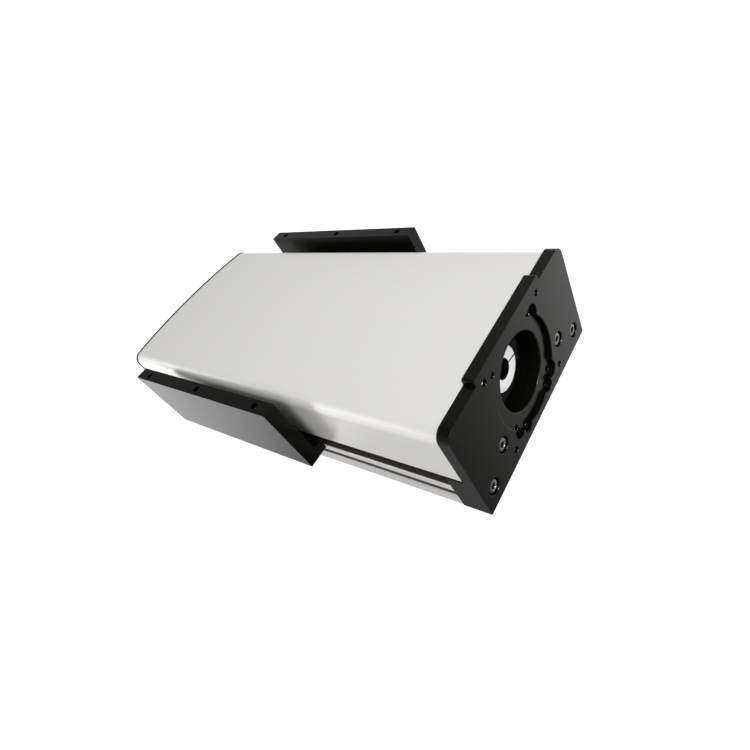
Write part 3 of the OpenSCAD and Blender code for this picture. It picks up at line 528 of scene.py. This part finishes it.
THREAD_START = 2.0 * MM
THREAD_WALL = 0.12 * MM
THREAD_STEPS = 20


def helix(bm, profile, pitch, turns, steps):
    """Winds a profile of (place, radius) pairs round the X axis through the origin."""
    chain = [bm.verts.new((place, 0.0, radius)) for place, radius in profile]
    edges = [bm.edges.new(pair) for pair in zip(chain, chain[1:])]
    bmesh.ops.spin(bm, geom=chain + edges, cent=(0.0, 0.0, 0.0), axis=(1.0, 0.0, 0.0),
                   dvec=(pitch / steps, 0.0, 0.0), angle=FULL_TURN * turns, steps=steps * turns,
                   use_merge=False, use_duplicate=False)
    bmesh.ops.remove_doubles(bm, verts=bm.verts, dist=SAME_POINT)


def tapped_wall(mouth, way, depth, drill, pitch):
    """The cut thread of a blind hole, a thin sleeve lying on the wall of the hole."""
    bm = bmesh.new()
    root = drill / 2.0
    crest = root - 0.45 * pitch
    helix(bm, [(-pitch, root), (-0.5 * pitch, crest), (0.0, root)], pitch,
          int((depth - THREAD_START) / pitch), THREAD_STEPS)
    bmesh.ops.recalc_face_normals(bm, faces=bm.faces)
    bmesh.ops.solidify(bm, geom=bm.faces[:], thickness=THREAD_WALL)
    bmesh.ops.recalc_face_normals(bm, faces=bm.faces)
    inward = Vector((1.0, 0.0, 0.0)).rotation_difference(way).to_matrix().to_4x4()
    start = Vector(mouth) + Vector(way) * (pitch + THREAD_START)
    bmesh.ops.transform(bm, verts=bm.verts, matrix=Matrix.Translation(start) @ inward)
    return bm


def threads(name, body, holes):
    """One piece of all the tapped walls of a part, bare metal coloured near-black as painted shade deep
    in its holes.
    """
    whole = bmesh.new()
    for hole in holes:
        wall = tapped_wall(*hole)
        one = bpy.data.meshes.new("tapped wall")
        wall.to_mesh(one)
        wall.free()
        whole.from_mesh(one)
        bpy.data.meshes.remove(one)
    piece = place_piece(name, whole, "milled_aluminium", body, sharp=60.0)
    # The threads take the near-black painted shade
    piece.data.materials[0] = painted_shade_thread


threads("motor_plate_threads", "frame", plate_holes)

WING_HOLE_STEP = 70.0 * MM
WING_HOLE_INSET = 5.0 * MM
WING_HOLE_DEPTH = 14.0 * MM
WING_HOLE_CHAMFER = 0.6 * MM

wing_holes = []
for wing in ("wing_left", "wing_right"):
    low, high = (Vector(corner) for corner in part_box(wing))
    outer_y = max(low.y, high.y, key=abs)
    for place in (-1.0, 0.0, 1.0):
        spot = ((low.x + high.x) / 2.0 + place * WING_HOLE_STEP,
                outer_y - math.copysign(WING_HOLE_INSET, outer_y), high.z - WING_HOLE_CHAMFER)
        wing_holes.append((spot, Vector((0.0, 0.0, -1.0)), WING_HOLE_DEPTH, *M6_TAPPED))
threads("wing_threads", "carriage", wing_holes)

# ---- ball screw -------------------------------------------------------------

LEAD = 10.0 * MM
SCREW_R = 8.0 * MM
TRACK_HALF_WIDTH = 1.7 * MM
TRACK_DEPTH = 1.15 * MM
TRACK_FACETS = 8
TURN_STEPS = 40
SEAT_D = 12.0 * MM
COUPLED_END_D = 10.0 * MM
LAP = 1.0 * MM


def bar(bm, x, length, d, chamfer):
    """A closed bar along X with a chamfer at its ends."""
    known = set(bm.verts)
    bmesh.ops.create_circle(bm, segments=48, radius=d / 2.0 - chamfer, cap_ends=True)
    ring = [edge for edge in bm.edges if not known.intersection(edge.verts)]
    for radius, z in ((d / 2.0, chamfer), (d / 2.0, length - chamfer), (d / 2.0 - chamfer, length)):
        ring = next_ring(bm, ring, radius, z)
    bmesh.ops.contextual_create(bm, geom=ring)
    made = [vert for vert in bm.verts if vert not in known]
    bmesh.ops.transform(bm, verts=made, matrix=Matrix.Translation((x, 0.0, 0.0))
                        @ Matrix.Rotation(math.pi / 2.0, 4, "Y"))


def ball_track():
    """One lead of the screw's outline: its ground crest and the round track of the balls."""
    profile = [(0.0, SCREW_R)]
    for facet in range(TRACK_FACETS + 1):
        turn = math.pi * facet / TRACK_FACETS
        profile.append((LEAD / 2.0 - TRACK_HALF_WIDTH * math.cos(turn),
                        SCREW_R - TRACK_DEPTH * math.sin(turn)))
    profile.append((LEAD, SCREW_R))
    return profile


def ball_screw():
    """The screw with its ball track between its ground bearing seats and its coupled end."""
    low, high = (corner[0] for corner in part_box("ball_screw"))
    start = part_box("base_profile")[0][0]
    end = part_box("bearing_inner_rings")[0][0]
    seat_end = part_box("lock_nut")[1][0]
    bm = bmesh.new()
    helix(bm, ball_track(), LEAD, int((end - start) / LEAD) + 3, TURN_STEPS)
    bmesh.ops.translate(bm, verts=bm.verts, vec=(start - 2.0 * LEAD, 0.0, 0.0))
    for plane, way in ((start, -1.0), (end, 1.0)):
        bmesh.ops.bisect_plane(bm, geom=bm.verts[:] + bm.edges[:] + bm.faces[:], dist=0.0005 * MM,
                               plane_co=(plane, 0.0, 0.0), plane_no=(way, 0.0, 0.0), clear_outer=True)
    bmesh.ops.holes_fill(bm, edges=[edge for edge in bm.edges if edge.is_boundary], sides=0)
    bar(bm, low, start - low + LAP, SEAT_D, 0.5 * MM)
    bar(bm, end - LAP, seat_end - end + LAP, SEAT_D, 0.3 * MM)
    bar(bm, seat_end - LAP, high - seat_end + LAP, COUPLED_END_D, 0.5 * MM)
    bmesh.ops.recalc_face_normals(bm, faces=bm.faces)
    bmesh.ops.translate(bm, verts=bm.verts, vec=(0.0, 0.0, AXIS_Z))
    place_piece("ball_screw_dressed", bm, "ground_steel", "screw", "ball_screw", sharp=30.0)


ball_screw()

# ---- seat ring at the back of the bore --------------------------------------

# Place behind the bearing housing's face and radius of each corner of its section, in mm
SEAT_RING_SECTION = ((0.0, 25.6), (0.0, 24.8), (0.7, 25.5), (0.7, 25.6))


def bore_seat_ring():
    """A thin turned ring at the back of the bore, round the coupling."""
    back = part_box("bearing_housing")[1][0]
    bm = bmesh.new()
    section = [bm.verts.new((back + x * MM, 0.0, radius * MM)) for x, radius in SEAT_RING_SECTION]
    loop = [bm.edges.new(pair) for pair in zip(section, section[1:] + section[:1])]
    bmesh.ops.spin(bm, geom=section + loop, cent=(0.0, 0.0, 0.0), axis=(1.0, 0.0, 0.0),
                   angle=FULL_TURN, steps=96, use_merge=True, use_duplicate=False)
    bmesh.ops.recalc_face_normals(bm, faces=bm.faces)
    bmesh.ops.translate(bm, verts=bm.verts, vec=(0.0, 0.0, AXIS_Z))
    place_piece("bore_seat_ring", bm, "black_plate", "frame", sharp=30.0)


bore_seat_ring()

# ---- floor ------------------------------------------------------------------

FLOOR_HALF_SIZE = 12.0


def pale_floor():
    """A wide floor bright enough to lift the undersides, and not mirrored in the part."""
    mesh = bpy.data.meshes.new("pale floor")
    bm = bmesh.new()
    bmesh.ops.create_grid(bm, x_segments=1, y_segments=1, size=FLOOR_HALF_SIZE)
    bm.to_mesh(mesh)
    bm.free()
    floor = bpy.data.objects.new("pale floor", mesh)
    bpy.context.scene.collection.objects.link(floor)
    paint = Finish("pale floor", (0.2, 0.2, 0.2), metal=0.0, rough=0.9, specular=0.0)
    paint.set("Emission Color", (1.0, 1.0, 1.0, 1.0))
    paint.set("Emission Strength", 0.95)
    mesh.materials.append(paint.material)
    floor.visible_glossy = False


pale_floor()

# ---- lights -----------------------------------------------------------------


def softbox(name, spot, aim, size, power, mirrored):
    """An area light that either lights matt surfaces or shows only in mirrored light."""
    light = bpy.data.lights.new(name, "AREA")
    light.shape = "RECTANGLE"
    light.size, light.size_y = size
    light.energy = power
    lamp = bpy.data.objects.new(name, light)
    bpy.context.scene.collection.objects.link(lamp)
    lamp.location = spot
    lamp.rotation_euler = (Vector(aim) - Vector(spot)).to_track_quat("-Z", "Y").to_euler()
    lamp.visible_diffuse = not mirrored
    lamp.visible_glossy = mirrored
    return lamp


softbox("overhead softbox", (0.5, -0.2, 1.5), aim=(0.0, 0.0, 0.0), size=(1.6, 1.6), power=48.0,
        mirrored=False)
softbox("side softbox", (0.9, -1.3, 0.7), aim=(0.0, 0.0, 0.03), size=(1.2, 0.5), power=9.0,
        mirrored=False)
edge_light = softbox("edge light", (1.6, -0.2, 0.9), aim=(0.17, 0.0, 0.04), size=(0.5, 0.5),
                     power=130.0, mirrored=True)
softbox("strip light", (-1.35, -1.1, 0.58), aim=(0.05, 0.0, 0.07), size=(1.3, 0.2), power=2.2,
        mirrored=True)

# The edge light picks out the rims of the black plates, the threads and the screws alone
catches_edge_light = bpy.data.collections.new("catches the edge light")
for piece in bpy.context.scene.objects:
    if piece.name.endswith(("end_plate_eased", "_threads", "_dressed")):
        catches_edge_light.objects.link(piece)
edge_light.light_linking.receiver_collection = catches_edge_light


def world_of_light():
    """White to the camera; to the part a pale sky, and a ground lit past its far end and sides."""
    world = bpy.data.worlds.new("soft studio")
    bpy.context.scene.world = world
    world.use_nodes = True
    tree = world.node_tree
    background = tree.nodes["Background"]
    place = tree.nodes.new("ShaderNodeTexCoord")
    split = tree.nodes.new("ShaderNodeSeparateXYZ")
    tree.links.new(place.outputs["Generated"], split.inputs["Vector"])

    def fill(socket, value):
        if isinstance(value, float):
            socket.default_value = value
        else:
            tree.links.new(value, socket)

    def ramp(axis, start, end):
        """A value changing along an axis of direction, from one (place, value) to another."""
        steps = tree.nodes.new("ShaderNodeMapRange")
        steps.inputs["From Min"].default_value, steps.inputs["To Min"].default_value = start
        steps.inputs["From Max"].default_value, steps.inputs["To Max"].default_value = end
        tree.links.new(split.outputs[axis], steps.inputs["Value"])
        return steps.outputs["Result"]

    def blend(factor, first, second):
        mix = tree.nodes.new("ShaderNodeMix")
        fill(mix.inputs["Factor"], factor)
        fill(mix.inputs["A"], first)
        fill(mix.inputs["B"], second)
        return mix.outputs["Result"]

    def maths(operation, first, second):
        sums = tree.nodes.new("ShaderNodeMath")
        sums.operation = operation
        fill(sums.inputs[0], first)
        fill(sums.inputs[1], second)
        return sums.outputs["Value"]

    sky = ramp("Y", (0.1, 0.16), (0.6, 0.42))
    past_far_end = ramp("X", (-1.0, 2.0), (-0.66, 0.0))
    to_the_right = ramp("Y", (0.0, 0.0), (1.0, 1.0))
    right_side = maths("MULTIPLY", maths("MULTIPLY", to_the_right, to_the_right), 2.2)
    left_side = ramp("Y", (-0.4, 0.6), (-0.2, 0.0))
    ground = maths("ADD", maths("ADD", past_far_end, right_side), left_side)
    above_horizon = ramp("Z", (-0.04, 0.0), (0.04, 1.0))
    around = blend(above_horizon, ground, sky)
    ray = tree.nodes.new("ShaderNodeLightPath")
    seen = blend(ray.outputs["Is Camera Ray"], around, 1.0)
    tree.links.new(seen, background.inputs["Color"])


world_of_light()

view = bpy.context.scene.view_settings
view.view_transform = "Standard"
view.look = "None"

# ---- camera -----------------------------------------------------------------

LENS_IN_MM = 25.0944
camera_data = bpy.data.cameras.new("studio camera")
camera_data.lens = LENS_IN_MM
camera_data.shift_x = -0.0667
camera_data.clip_start = 0.02
camera_data.clip_end = 50.0
camera = bpy.data.objects.new("studio camera", camera_data)
bpy.context.scene.collection.objects.link(camera)
camera.location = (0.31196, -0.17381, 0.26685)
camera.rotation_euler = Euler((0.78474, 0.39576, 0.55139))
bpy.context.scene.camera = camera
